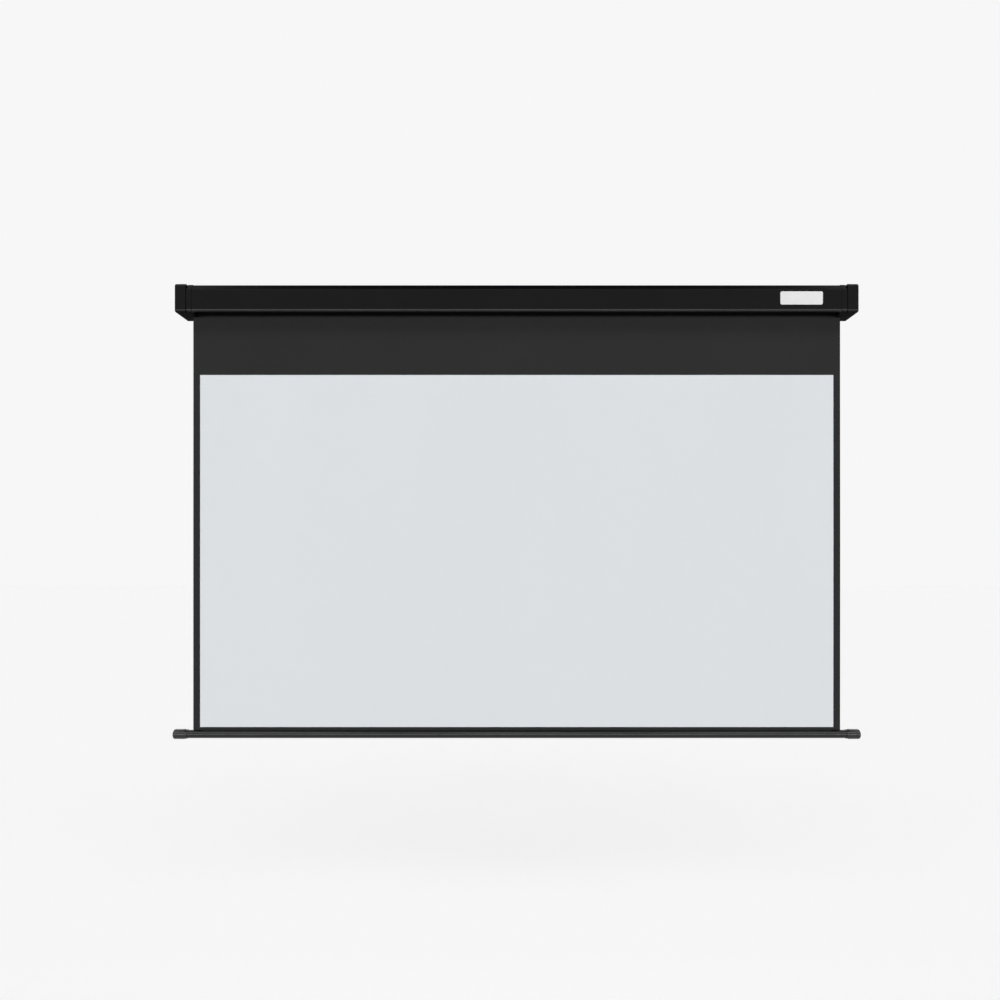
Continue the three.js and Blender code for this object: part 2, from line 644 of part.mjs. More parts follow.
function pawlPin(degrees) {
  const [y, z] = pivotAt(degrees);
  const headAt = pawlInner + PAWL_THICKNESS + SEAT_GAP;
  const headRadius = PAWL_PIN_DIAMETER / 2 + PAWL_PIN_HEAD;
  const profile = [
    [0, flangeInner - PAWL_THICKNESS + SEAT_GAP],
    [PAWL_PIN_DIAMETER / 2, flangeInner - PAWL_THICKNESS + SEAT_GAP],
    [PAWL_PIN_DIAMETER / 2, headAt],
    [headRadius, headAt],
    [headRadius, headAt + PAWL_PIN_HEAD_THICKNESS],
    [0, headAt + PAWL_PIN_HEAD_THICKNESS],
  ];
  return turned(profile, SMALL_ROUND_FACETS, y, z);
}

// The notched hub on the fixed spindle. Each notch has a face that stops a pawl's tip, and a floor that
// lets the pawl out when the roller turns back.
function ratchetHub() {
  const hub = ring(spindleRadius + SEAT_GAP, hubRadius, hubInner, hubInner + HUB_THICKNESS);
  const end = PAWL_LENGTH + PAWL_TIP_RADIUS + NOTCH_CLEARANCE;
  const notches = pawlAngles.map((degrees) => {
    const room = outline([
      new THREE.Vector2(0, -pivotRadius),
      new THREE.Vector2(end, -pivotRadius),
      new THREE.Vector2(end, PAWL_TIP_RADIUS + NOTCH_CLEARANCE),
      new THREE.Vector2(0, PAWL_BOSS_RADIUS + NOTCH_CLEARANCE),
    ]);
    const tool = alongX(room, hubInner - OVERRUN, hubInner + HUB_THICKNESS + OVERRUN);
    return toPawl(tool, degrees, droppedAngle);
  });
  return cut(hub, ...notches);
}

const tangInner = plateOuter - TANG_LENGTH;
const anchorOuter = halfTube - PLUG_LENGTH - RUNNING_GAP;
const springOuter = anchorOuter - ANCHOR_LENGTH - SEAT_GAP;
const springInner = springOuter - SPRING_COILS * SPRING_PITCH;

// The fixed spindle: round inside the roller, with a flat tang in the bracket that stops it turning.
function springSpindle() {
  const inner = springInner - SEAT_GAP - SPRING_PLUG_LENGTH;
  const shaft = rod(spindleRadius, inner, plateOuter, SMALL_ROUND_FACETS);
  const cheek = (side) =>
    block(
      tangInner,
      plateOuter + OVERRUN,
      side > 0 ? TANG_THICKNESS / 2 : -SPINDLE_DIAMETER,
      side > 0 ? SPINDLE_DIAMETER : -TANG_THICKNESS / 2,
      -SPINDLE_DIAMETER,
      SPINDLE_DIAMETER,
    );
  return cut(shaft, cheek(1), cheek(-1));
}

const springRadius = spindleRadius + SPRING_CLEARANCE + SPRING_WIRE / 2;

// One unbroken wire wound round the spindle. The end turns run flat against what holds them.
function torsionSpring() {
  const wire = SPRING_WIRE / 2;
  const steps = SPRING_COILS * COIL_STEPS;
  const flatTurn = 1 / SPRING_COILS;
  const rise = (share) => THREE.MathUtils.clamp((share - flatTurn / 2) / (1 - flatTurn), 0, 1);
  const positions = [];
  for (let k = 0; k <= steps; k++) {
    const angle = (k / COIL_STEPS) * 2 * Math.PI;
    const x = springInner + wire + rise(k / steps) * (springOuter - springInner - SPRING_WIRE);
    for (let side = 0; side < WIRE_SIDES; side++) {
      const turn = (side / WIRE_SIDES) * 2 * Math.PI;
      const radius = springRadius + wire * Math.cos(turn);
      positions.push(x + wire * Math.sin(turn), radius * Math.cos(angle), radius * Math.sin(angle));
    }
  }
  const index = [];
  for (let k = 0; k < steps; k++) {
    for (let side = 0; side < WIRE_SIDES; side++) {
      const a = k * WIRE_SIDES + side;
      const b = k * WIRE_SIDES + ((side + 1) % WIRE_SIDES);
      index.push(a, b, a + WIRE_SIDES, b, b + WIRE_SIDES, a + WIRE_SIDES);
    }
  }
  const last = steps * WIRE_SIDES;
  for (let side = 1; side + 1 < WIRE_SIDES; side++) {
    index.push(0, side + 1, side, last, last + side, last + side + 1);
  }
  const geometry = new THREE.BufferGeometry();
  geometry.setAttribute("position", new THREE.Float32BufferAttribute(positions, 3));
  geometry.setIndex(index);
  return geometryOf(solid(geometry));
}

// A sleeve fixed on the spindle, which holds the spring's outer end.
function springAnchor() {
  const bore = spindleRadius + SEAT_GAP;
  const inner = anchorOuter - ANCHOR_LENGTH;
  return ring(bore, spindleRadius + ANCHOR_WALL, inner, anchorOuter, SMALL_ROUND_FACETS);
}

// A plug that turns with the tube and holds the spring's inner end.
function springPlug() {
  const outer = springInner - SEAT_GAP;
  return tubePlug(outer - SPRING_PLUG_LENGTH, outer, spindleRadius + RUNNING_GAP);
}

const idlerPin = () => rod(spindleRadius, halfTube - PLUG_LENGTH, plateOuter, SMALL_ROUND_FACETS);

function idlerBush() {
  const bore = spindleRadius + RUNNING_GAP / 2;
  const flangeAt = plateInner - SEAT_GAP;
  const profile = [
    [bore, flangeAt - BUSH_FLANGE_THICKNESS],
    [bushRadius + BUSH_FLANGE, flangeAt - BUSH_FLANGE_THICKNESS],
    [bushRadius + BUSH_FLANGE, flangeAt],
    [bushRadius, flangeAt],
    [bushRadius, plateOuter],
    [bore, plateOuter],
    [bore, flangeAt - BUSH_FLANGE_THICKNESS],
  ];
  return turned(profile, SMALL_ROUND_FACETS);
}

const fabricSpline = () =>
  rod(SPLINE_DIAMETER / 2, -halfSheet, halfSheet, SMALL_ROUND_FACETS, 0, splineRadius);

// The last turns of the sheet, from where it leaves the roller at the back round to the groove for its end.
function wraps() {
  const centre = [];
  const steps = Math.round(wrapTurns * ROUND_FACETS);
  for (let k = 0; k <= steps; k++) {
    const turns = (k / steps) * wrapTurns;
    const radius = tangentRadius - turns * WRAP_SPACING;
    centre.push(new THREE.Vector2(radius, 0).rotateAround(new THREE.Vector2(), turns * 2 * Math.PI));
  }
  const tabEnd = splineRadius + SPLINE_DIAMETER / 2 + SEAT_GAP;
  centre.push(new THREE.Vector2(0, tabEnd));
  const samples = centre.map((point, i) => {
    const ahead = centre[Math.min(i + 1, centre.length - 1)].clone().sub(point);
    const behind = point.clone().sub(centre[Math.max(i - 1, 0)]);
    const along = ahead.normalize().add(behind.normalize()).normalize();
    return { point, normal: new THREE.Vector2(-along.y, along.x) };
  });
  return alongX(band(samples, -SHEET_THICKNESS / 2, SHEET_THICKNESS / 2), -halfSheet, halfSheet);
}

// The free sheet hangs from where it leaves the roller to the top of the bar, drawn about its own plane.
const sheetTop = -SEAT_GAP;
const sheetBottom = barZ + barRadius + SEAT_GAP;
const screenSheet = () =>
  block(-halfSheet, halfSheet, -SHEET_THICKNESS / 2, SHEET_THICKNESS / 2, sheetBottom, sheetTop);

function viewingSurface() {
  const back = -SHEET_THICKNESS / 2 - COATING_GAP;
  const top = -halfHeight - DROP_BELOW_CASING;
  return block(-VIEW_WIDTH / 2, VIEW_WIDTH / 2, back - COATING_THICKNESS, back, top - VIEW_HEIGHT, top);
}

// The bottom bar's pieces are drawn about the tube's own axis.
function barTube() {
  const half = Math.asin(BAR_SLOT / 2 / barRadius);
  const line = arc(barRadius, Math.PI / 2 + half, 2.5 * Math.PI - half, ROUND_FACETS);
  const samples = line.map((point) => ({ point, normal: point.clone().normalize() }));
  const halfTubeLength = halfBar - BAR_CAP_END_WALL - SEAT_GAP;
  return alongX(band(samples, -BAR_WALL, 0), -halfTubeLength, halfTubeLength);
}

// The hem's pocket is pulled up under the slot's lips by the bar's weight.
const pocketBore = HEM_ROD_DIAMETER / 2 + SEAT_GAP;
const pocketRadius = pocketBore + SHEET_THICKNESS;
const pocketZ = barRadius - BAR_WALL - pocketRadius - SEAT_GAP;
function hemPocket() {
  const half = Math.asin(SHEET_THICKNESS / pocketRadius);
  const shape = outline([
    ...arc(pocketRadius, Math.PI / 2 + half, 2.5 * Math.PI - half, SMALL_ROUND_FACETS, 0, pocketZ),
    new THREE.Vector2(SHEET_THICKNESS, barRadius),
    new THREE.Vector2(-SHEET_THICKNESS, barRadius),
  ]);
  shape.holes.push(round(pocketBore, 0, pocketZ));
  return alongX(shape, -halfSheet, halfSheet);
}
const hemRod = () => rod(HEM_ROD_DIAMETER / 2, -halfSheet, halfSheet, SMALL_ROUND_FACETS, 0, pocketZ);

function barCap() {
  const inner = halfBar - BAR_CAP_LENGTH;
  const bore = barRadius + SEAT_GAP;
  const neckEnd = inner + BAR_CAP_NECK_LENGTH;
  const profile = [
    [bore, inner],
    [bore + BAR_CAP_NECK_WALL, inner],
    [bore + BAR_CAP_NECK_WALL, neckEnd],
    [barCapRadius, neckEnd + BAR_CAP_SHOULDER],
  ];
  for (let k = 0; k <= BEND_FACETS; k++) {
    const angle = (k / BEND_FACETS) * (Math.PI / 2);
    profile.push([
      barCapRadius - BAR_CAP_EDGE * (1 - Math.cos(angle)),
      halfBar - BAR_CAP_EDGE * (1 - Math.sin(angle)),
    ]);
  }
  const floor = halfBar - BAR_CAP_END_WALL;
  profile.push([0, halfBar], [0, floor], [bore, floor], profile[0]);
  return turned(profile);
}

const screen = new THREE.Group();
screen.name = "pull_down_screen";

function assembly(y = 0, z = 0) {
  const group = new THREE.Group();
  group.position.set(0, y, z);
  screen.add(group);
  return group;
}

function piece(group, name, geometry, material, x = 0, y = 0, z = 0) {
  const mesh = new THREE.Mesh(geometry, material);
  mesh.name = name;
  mesh.position.set(x, y, z);
  group.add(mesh);
}

const casing = assembly();
piece(casing, "casing_shell", casingShell(), blackPaint);
piece(casing, "end_cap_right", endCap(), blackPlastic);
piece(casing, "end_cap_left", mirrored(endCap()), blackPlastic);
piece(casing, "wall_bracket_right", wallBracket(tangSlot()), zincSteel);
piece(casing, "wall_bracket_left", mirrored(wallBracket(idlerBearing())), zincSteel);
endScrewPlaces().forEach((z, i) => {
  const level = ["lower", "upper"][i];
  piece(casing, `end_screw_right_${level}`, endScrew(), zincSteel, 0, -END_SCREW_SETBACK, z);
  piece(casing, `end_screw_left_${level}`, mirrored(endScrew()), zincSteel, 0, -END_SCREW_SETBACK, z);
});
for (const [y, row] of [[-TOP_SCREW_BACK, "back"], [-TOP_SCREW_FRONT, "front"]]) {
  piece(casing, `top_screw_right_${row}`, topScrew(), zincSteel, collarMiddle, y);
  piece(casing, `top_screw_left_${row}`, topScrew(), zincSteel, -collarMiddle, y);
}

const axle = assembly(rollerY);
piece(axle, "idler_bush", mirrored(idlerBush()), nylon);
piece(axle, "spring_spindle", springSpindle(), zincSteel);
piece(axle, "ratchet_hub", ratchetHub(), zincSteel);
piece(axle, "spring_anchor", springAnchor(), nylon);
piece(axle, "torsion_spring", torsionSpring(), springSteel);

const roller = assembly(rollerY);
piece(roller, "roller_tube", rollerTube(), aluminium);
piece(roller, "idler_plug", mirrored(idlerPlug()), blackPlastic);
piece(roller, "idler_pin", mirrored(idlerPin()), zincSteel);
piece(roller, "ratchet_plug", ratchetPlug(), zincSteel);
piece(roller, "spring_plug", springPlug(), nylon);
piece(roller, "fabric_spline", fabricSpline(), nylon);
piece(roller, "fabric_wraps", wraps(), blackSheet);
pawlAngles.forEach((degrees, i) => {
  piece(roller, `pawl_${i + 1}`, pawl(degrees), zincSteel);
  piece(roller, `pawl_pin_${i + 1}`, pawlPin(degrees), springSteel);
});

const hanging = assembly(sheetY);
piece(hanging, "screen_sheet", screenSheet(), blackSheet);
piece(hanging, "viewing_surface", viewingSurface(), whiteSheet);

const bar = assembly(sheetY, barZ);
piece(bar, "bar_tube", barTube(), blackTube);
piece(bar, "hem_pocket", hemPocket(), blackSheet);
piece(bar, "hem_rod", hemRod(), zincSteel);
piece(bar, "bar_cap_right", barCap(), blackPlastic);
piece(bar, "bar_cap_left", mirrored(barCap()), blackPlastic);

export default screen;
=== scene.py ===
# The looks of the pull-down projection screen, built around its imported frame.
# Everything is in metres: X runs along the casing, Z is up, and the wall is the plane Y = 0.

import json
import math

import bmesh
import bpy
from mathutils import Matrix, Vector


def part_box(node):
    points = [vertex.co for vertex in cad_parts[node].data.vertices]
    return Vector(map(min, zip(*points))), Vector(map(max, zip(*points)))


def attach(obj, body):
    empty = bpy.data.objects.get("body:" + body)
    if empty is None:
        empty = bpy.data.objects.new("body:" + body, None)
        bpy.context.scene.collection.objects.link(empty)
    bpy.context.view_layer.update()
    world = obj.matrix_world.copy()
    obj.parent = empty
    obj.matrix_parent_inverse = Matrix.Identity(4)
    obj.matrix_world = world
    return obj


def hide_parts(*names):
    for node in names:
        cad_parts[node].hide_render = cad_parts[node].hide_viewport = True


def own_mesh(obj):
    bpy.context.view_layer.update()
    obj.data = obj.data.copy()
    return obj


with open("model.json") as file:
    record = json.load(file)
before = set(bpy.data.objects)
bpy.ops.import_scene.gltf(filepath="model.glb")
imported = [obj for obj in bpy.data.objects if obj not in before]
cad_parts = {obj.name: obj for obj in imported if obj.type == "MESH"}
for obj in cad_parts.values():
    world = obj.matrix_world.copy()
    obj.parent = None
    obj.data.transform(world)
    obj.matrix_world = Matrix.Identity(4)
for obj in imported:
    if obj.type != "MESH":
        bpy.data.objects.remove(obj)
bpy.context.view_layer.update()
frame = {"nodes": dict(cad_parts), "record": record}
nodes = frame["nodes"]

MM = 0.001

# How finely the shapes are made
BEND_STEPS = 10
ROUND_STEPS = 96
SCREW_STEPS = 48
DOME_STEPS = 8
SHEET_COLUMNS = 120
HANGING_ROWS = 80
BORDER_ROWS = 4
SMOOTH_ANGLE = math.radians(35)
BROKEN_EDGE_ANGLE = math.radians(40)
BROKEN_EDGE_SEGMENTS = 2

# Clearances
SEAT_GAP = 0.3 * MM  # between pieces that rest on or in each other
OVERRUN = 2 * MM  # how far a cutting tool runs past the face that it cuts

# The casing's shell
SHELL_THICKNESS = 1.2 * MM
SHELL_BROKEN_EDGE = 0.2 * MM
TOP_CHAMFER_DEPTH = 11.5 * MM
TOP_CHAMFER_HEIGHT = 15.6 * MM
CHAMFER_BEND = 2.5 * MM
FOOT_CHAMFER_DEPTH = 1.4 * MM
FOOT_CHAMFER_HEIGHT = 7 * MM
FOOT_CHAMFER_BEND = 8 * MM
FOOT_EDGE_BEND = 1.8 * MM
BACK_BEND = 4 * MM
FRONT_LIP = 9.5 * MM
BACK_LIP = 14 * MM
HEM_HEIGHT = 6 * MM
HEM_BEND = 2.2 * MM

# The casing's end caps
CAP_PROUD = 1.2 * MM  # how far a cap stands out past the shell
CAP_WALL = 2.5 * MM
CAP_EDGE_RADIUS = 4 * MM
CAP_CORNER_RADIUS = 5 * MM
CAP_FOOT_RADIUS = 4.5 * MM
CAP_BROW_RADIUS = 8 * MM
CAP_INNER_EDGE = 0.8 * MM
SEAM_WIDTH = 2.5 * MM
COLLAR_LENGTH = 14.5 * MM
COLLAR_EDGE = 0.5 * MM
COLLAR_WEB = 2 * MM
SPIGOT_LENGTH = 18 * MM
SPIGOT_WALL = 2 * MM
SPIGOT_BEND = 4 * MM
NECK_DEPTH = 1.2 * MM  # from the casing's outside line in to the floor of the seam
TONGUE_SETBACK = 8 * MM  # from the tongue's edge to the sheet
# The faces picked out by this slope get a duller copy of the cap's plastic, as painted shade.
PAINTED_SHADE_SLOPE = -0.85  # faces that look down more steeply than this are the underside

# The bare plate on the casing's front, at the viewer's right
PLATE_WIDTH = 122 * MM
PLATE_HEIGHT = 38 * MM
PLATE_CORNER = 5 * MM
PLATE_THICKNESS = 1 * MM
PLATE_BROKEN_EDGE = 0.3 * MM
PLATE_X = 818 * MM
PLATE_Z = -1.2 * MM

# The screws
SCREW_HEAD_RADIUS = 3.5 * MM
SCREW_HEAD_HEIGHT = 1.6 * MM
SCREW_RIM_HEIGHT = 0.48 * MM
SCREW_SHANK_RADIUS = 1.75 * MM
SCREW_TIP_RADIUS = 0.7 * MM
SCREW_TIP_LENGTH = 0.8 * MM
CROSS_REACH = 1.925 * MM
CROSS_HALF_WIDTH = 0.455 * MM
CROSS_DEPTH = 1.12 * MM

# The sheet's faint ripples, and its turns on the roller
RIPPLE_HEIGHT = 0.45 * MM
RIPPLES_ACROSS = 5.3  # radians for each metre
RIPPLE_START = 0.7  # radians
EDGE_CURL = 0.5 * MM
EDGE_CURL_POWER = 10
EDGE_CURLS_DOWN = 4  # radians for each metre
WRAP_SPACING = 0.6 * MM
WRAP_TURNS = 1.25

# The bottom bar
BAR_WALL = 1.2 * MM
BAR_SLOT = 3 * MM
BAR_CAP_EDGE = 4 * MM
BAR_CAP_NECK_LENGTH = 6 * MM
BAR_CAP_NECK_WALL = 1 * MM
BAR_CAP_SHOULDER = 1.5 * MM
BAR_CAP_SHARP = 0.3 * MM

# Where the photograph's frame sees the screen from, with its pixels counted from the top left
PHOTO_SIZE = 1000
PHOTO_MIDDLE_PX = 516.7
PHOTO_EYE_LEVEL_PX = 560
PICTURE_TOP_PX = 375.0
PICTURE_BOTTOM_PX = 727.0
LENS = 26
SENSOR = 36
CLIP_END = 100

# The floor and the backdrop
FLOOR_DROP = 0.62  # from the bar down to the floor
FLOOR_REACH = 30
FLOOR_GREY = 0.3
FLOOR_ROUGHNESS = 0.9
FLOOR_GLOW = 0.754
BACKDROP_GREY = 0.93

# The world, with heights as the upward share of a direction
CEILING_START = 0.88
CEILING_END = 0.955
CEILING_GLOW = 0.03
SKY_GREY = 0.8
SKY_BAND_START = -0.02
SKY_BAND_END = 0.14
SKY_LOW = 0.35
SKY_TOP = 0.02

# The lamps, with angles in degrees. A row has this many lamps on each side of its middle one.
STRIP_LAMPS = 3
STRIP_SPACING = 12
STRIP_ELEVATION = -2
STRIP_STRENGTH = 0.36
HIGH_LAMPS = 2
HIGH_SPACING = 24
HIGH_ELEVATION = 42
HIGH_SPREAD = 14
HIGH_STRENGTH = 0.2
BEHIND_ELEVATION = 25
BEHIND_AZIMUTH = 125
BEHIND_SPREAD = 50
BEHIND_STRENGTH = 1.2

# Places from the frame
shell_low, shell_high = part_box("casing_shell")
cap_low, cap_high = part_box("end_cap_right")
bracket_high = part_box("wall_bracket_right")[1]
sheet_low, sheet_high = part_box("screen_sheet")
picture_low, picture_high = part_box("viewing_surface")
tube_low, tube_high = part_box("bar_tube")
bar_cap_low, bar_cap_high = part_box("bar_cap_right")
wraps_low, wraps_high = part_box("fabric_wraps")
roller_low, roller_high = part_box("roller_tube")

depth = -shell_low.y
half_height = shell_high.z
sheet_y = (sheet_low.y + sheet_high.y) / 2
collar_outer = cap_low.x + SPIGOT_LENGTH
collar_inner = collar_outer - COLLAR_LENGTH
cap_inner = collar_outer + SEAM_WIDTH
cap_outer = cap_high.x
cap_top = half_height + CAP_PROUD
cap_front = -depth - CAP_PROUD

# The angles that a round edge is made of
QUARTER_TURN = [math.pi / 2 * k / BEND_STEPS for k in range(BEND_STEPS + 1)]


def rounded_path(corners, closed=False):
    """Samples of a path with rounded corners (a, b, radius): each a point and the normal on its left."""
    samples = []
    count = len(corners)
    for i, corner in enumerate(corners):
        a, b = corner[0], corner[1]
        radius = corner[2] if len(corner) > 2 else 0
        here = Vector((a, b))
        before = Vector(corners[i - 1][:2])
        after = Vector(corners[(i + 1) % count][:2])
        first = not closed and i == 0
        last = not closed and i == count - 1
        coming = (after - here if first else here - before).normalized()
        going = coming if last else (after - here).normalized()
        turn = math.atan2(coming.x * going.y - coming.y * going.x, coming.dot(going))
        side = 1 if turn >= 0 else -1
        left = Vector((-coming.y, coming.x))
        if not radius:
            samples.append((here, left))
            continue
        start = here - coming * radius * math.tan(abs(turn) / 2)
        centre = start + left * side * radius
        for k in range(BEND_STEPS + 1):
            normal = Matrix.Rotation(turn * k / BEND_STEPS, 2) @ left
            samples.append((centre - normal * side * radius, normal))
    return samples


def offset(samples, distance):
    return [point + normal * distance for point, normal in samples]


def band(samples, inner, outer):
    """The closed outline between two offsets of a path."""
    return offset(samples, outer) + offset(samples, inner)[::-1]


def arc(radius, start, end, steps, a=0.0, b=0.0):
    angles = [start + (end - start) * k / steps for k in range(steps + 1)]
    return [Vector((a + radius * math.cos(t), b + radius * math.sin(t))) for t in angles]


def signed_area(points):
    return sum(p.x * q.y - q.x * p.y for p, q in zip(points, points[1:] + points[:1])) / 2


def loft(sections):
    """A bmesh through outlines in (Y, Z), each at its own x, closed by a face at both ends."""
    bm = bmesh.new()
    rings = []
    for x, points in sections:
        ordered = points if signed_area(points) > 0 else points[::-1]
        rings.append([bm.verts.new((x, p.x, p.y)) for p in ordered])
    for low, high in zip(rings, rings[1:]):
        for i in range(len(low)):
            j = (i + 1) % len(low)
            bm.faces.new((low[i], low[j], high[j], high[i]))
    bm.faces.new(rings[0][::-1])
    bm.faces.new(rings[-1])
    return bm


def prism(points, x0, x1):
    return loft([(x0, points), (x1, points)])


def box(x0, x1, y0, y1, z0, z1):
    return prism([Vector(p) for p in ((y0, z0), (y1, z0), (y1, z1), (y0, z1))], x0, x1)


def lathe(profile, y=0.0, z=0.0, steps=ROUND_STEPS):
    """A bmesh turned about a line along X. The profile's points are (radius, x); it closes on itself."""
    bm = bmesh.new()
    rings = []
    for radius, x in profile:
        if radius == 0:
            rings.append([bm.verts.new((x, y, z))])
            continue
        turned = arc(radius, 0, 2 * math.pi, steps, y, z)[:-1]
        rings.append([bm.verts.new((x, p.x, p.y)) for p in turned])
    for low, high in zip(rings, rings[1:] + rings[:1]):
        if len(low) == 1 and len(high) == 1:
            continue
        for i in range(steps):
            j = (i + 1) % steps
            corners = [low[0]] if len(low) == 1 else [low[i], low[j]]
            corners += [high[0]] if len(high) == 1 else [high[j], high[i]]
            bm.faces.new(corners)
    bmesh.ops.recalc_face_normals(bm, faces=bm.faces)
    return bm


def to_object(bm, name):
    mesh = bpy.data.meshes.new(name)
    bmesh.ops.recalc_face_normals(bm, faces=bm.faces)
    bm.to_mesh(mesh)
    bm.free()
    made = bpy.data.objects.new(name, mesh)
    bpy.context.scene.collection.objects.link(made)
    return made


def combine(bm, tools, operation):
    """Joins the tools to a bmesh, or cuts them from it, and gives the result as a bmesh."""
    body = to_object(bm, "working_body")
    cutters = [to_object(tool, "working_tool") for tool in tools]
    for cutter in cutters:
        step = body.modifiers.new("step", "BOOLEAN")
        step.operation = operation
        step.solver = "EXACT"
        step.object = cutter
    graph = bpy.context.evaluated_depsgraph_get()
    made = bmesh.new()
    made.from_object(body, graph)
    for used in [body, *cutters]:
        bpy.data.objects.remove(used)
    return made


def mirrored(bm):
    other = bm.copy()
    bmesh.ops.transform(other, matrix=Matrix.Scale(-1, 4, Vector((1, 0, 0))), verts=other.verts)
    bmesh.ops.reverse_faces(other, faces=other.faces)
    return other


def piece(bm, name, body, slot, material, *stands_for, edge=0.0):
    """A finished piece: smooth where it bends gently, with its sharp edges broken, on its body."""
    made = to_object(bm, name)
    made.data.materials.append(material)
    made.data.shade_smooth()
    made.data.set_sharp_from_angle(angle=SMOOTH_ANGLE)
    if edge:
        broken = made.modifiers.new("broken_edges", "BEVEL")
        broken.width = edge
        broken.segments = BROKEN_EDGE_SEGMENTS
        broken.limit_method = "ANGLE"
        broken.angle_limit = BROKEN_EDGE_ANGLE
        broken.harden_normals = True
    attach(made, body)
    if stands_for:
        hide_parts(*stands_for)
    return made


def scaled(color, share):
    return [c * share for c in color]


class Finish:
    """A material with one Principled shader, and helpers for the textures that drive it."""

    def __init__(self, name, color, roughness, metallic=0.0, specular=0.5):
        self.material = bpy.data.materials.new(name)
        self.material.use_nodes = True
        self.tree = self.material.node_tree
        self.shader = self.tree.nodes["Principled BSDF"]
        self.color = color
        self.roughness = roughness
        self.shader.inputs["Base Color"].default_value = (*color, 1)
        self.shader.inputs["Roughness"].default_value = roughness
        self.shader.inputs["Metallic"].default_value = metallic
        self.shader.inputs["Specular IOR Level"].default_value = specular
        self.place = self.tree.nodes.new("ShaderNodeTexCoord").outputs["Object"]
        self.normal = None

    def stretched(self, x, y, z):
        mapping = self.tree.nodes.new("ShaderNodeMapping")
        mapping.inputs["Scale"].default_value = (x, y, z)
        self.tree.links.new(self.place, mapping.inputs["Vector"])
        return mapping.outputs["Vector"]

    def noise(self, scale, detail=3.0, vector=None):
        made = self.tree.nodes.new("ShaderNodeTexNoise")
        made.inputs["Scale"].default_value = scale
        made.inputs["Detail"].default_value = detail
        self.tree.links.new(vector or self.place, made.inputs["Vector"])
        return made.outputs["Fac"]

    def waves(self, scale, direction, distortion):
        made = self.tree.nodes.new("ShaderNodeTexWave")
        made.bands_direction = direction
        made.inputs["Scale"].default_value = scale
        made.inputs["Distortion"].default_value = distortion
        self.tree.links.new(self.place, made.inputs["Vector"])
        return made.outputs["Fac"]

    def ranged(self, value, low, high, start=0.3, end=0.7):
        made = self.tree.nodes.new("ShaderNodeMapRange")
        made.inputs["From Min"].default_value = start
        made.inputs["From Max"].default_value = end
        made.inputs["To Min"].default_value = low
        made.inputs["To Max"].default_value = high
        self.tree.links.new(value, made.inputs["Value"])
        return made.outputs["Result"]

    def vary_color(self, value, other, start=0.35, end=0.7):
        mix = self.tree.nodes.new("ShaderNodeMix")
        mix.data_type = "RGBA"
        mix.inputs["A"].default_value = (*self.color, 1)
        mix.inputs["B"].default_value = (*other, 1)
        self.tree.links.new(self.ranged(value, 0, 1, start, end), mix.inputs["Factor"])
        self.tree.links.new(mix.outputs["Result"], self.shader.inputs["Base Color"])

    def vary_roughness(self, value, spread):
        low, high = self.roughness - spread, self.roughness + spread
        self.tree.links.new(self.ranged(value, low, high), self.shader.inputs["Roughness"])

    def bump(self, value, height, strength):
        """Adds a bump on top of those made before."""
        made = self.tree.nodes.new("ShaderNodeBump")
        made.inputs["Distance"].default_value = height
        made.inputs["Strength"].default_value = strength
        self.tree.links.new(value, made.inputs["Height"])
        if self.normal:
            self.tree.links.new(self.normal, made.inputs["Normal"])
        self.normal = made.outputs["Normal"]
        self.tree.links.new(self.normal, self.shader.inputs["Normal"])


def powder_coat(name, color, roughness, specular):
    finish = Finish(name, color, roughness, specular=specular)
    finish.vary_color(finish.noise(scale=6), scaled(color, share=1.25))
    finish.vary_roughness(finish.noise(scale=9), spread=0.015)
    finish.bump(finish.noise(scale=900, detail=2), height=0.12 * MM, strength=0.25)
    finish.bump(finish.noise(scale=220, detail=1), height=0.2 * MM, strength=0.06)
    return finish.material


def moulded_plastic(name, color, roughness, specular=0.35, mottle=1.3):
    finish = Finish(name, color, roughness, specular=specular)
    finish.vary_color(finish.noise(scale=40), scaled(color, share=mottle))
    finish.vary_roughness(finish.noise(scale=60), spread=0.02)
    finish.bump(finish.noise(scale=1600, detail=2), height=0.08 * MM, strength=0.3)
    return finish.material


def gloss_paint(name, color, roughness, specular):
    finish = Finish(name, color, roughness, specular=specular)
    finish.vary_roughness(finish.noise(scale=14), spread=0.03)
    finish.bump(finish.noise(scale=160, detail=1), height=0.12 * MM, strength=0.12)
    return finish.material


def metal(name, color, roughness):
    """A metal with a fine grain drawn along X."""
    finish = Finish(name, color, roughness, metallic=1.0)
    drawn = finish.noise(scale=1, detail=4, vector=finish.stretched(20, 600, 600))
    finish.vary_roughness(drawn, spread=0.08)
    finish.vary_color(finish.noise(scale=35), scaled(color, share=0.8))
    finish.bump(drawn, height=0.05 * MM, strength=0.3)
    return finish.material


def screen_cloth(name, color, shade, roughness, specular):
    """A coated sheet: a fine basket weave under the coating, with faint streaks down its length."""
    finish = Finish(name, color, roughness, specular=specular)
    finish.vary_color(finish.noise(scale=2.2, detail=2, vector=finish.stretched(1, 1, 0.3)), shade)
    finish.vary_roughness(finish.noise(scale=700, detail=2), spread=0.06)
    for direction in ("X", "Z"):
        weave = finish.waves(scale=520, direction=direction, distortion=0.4)
        finish.bump(weave, height=0.04 * MM, strength=0.25)
    return finish.material


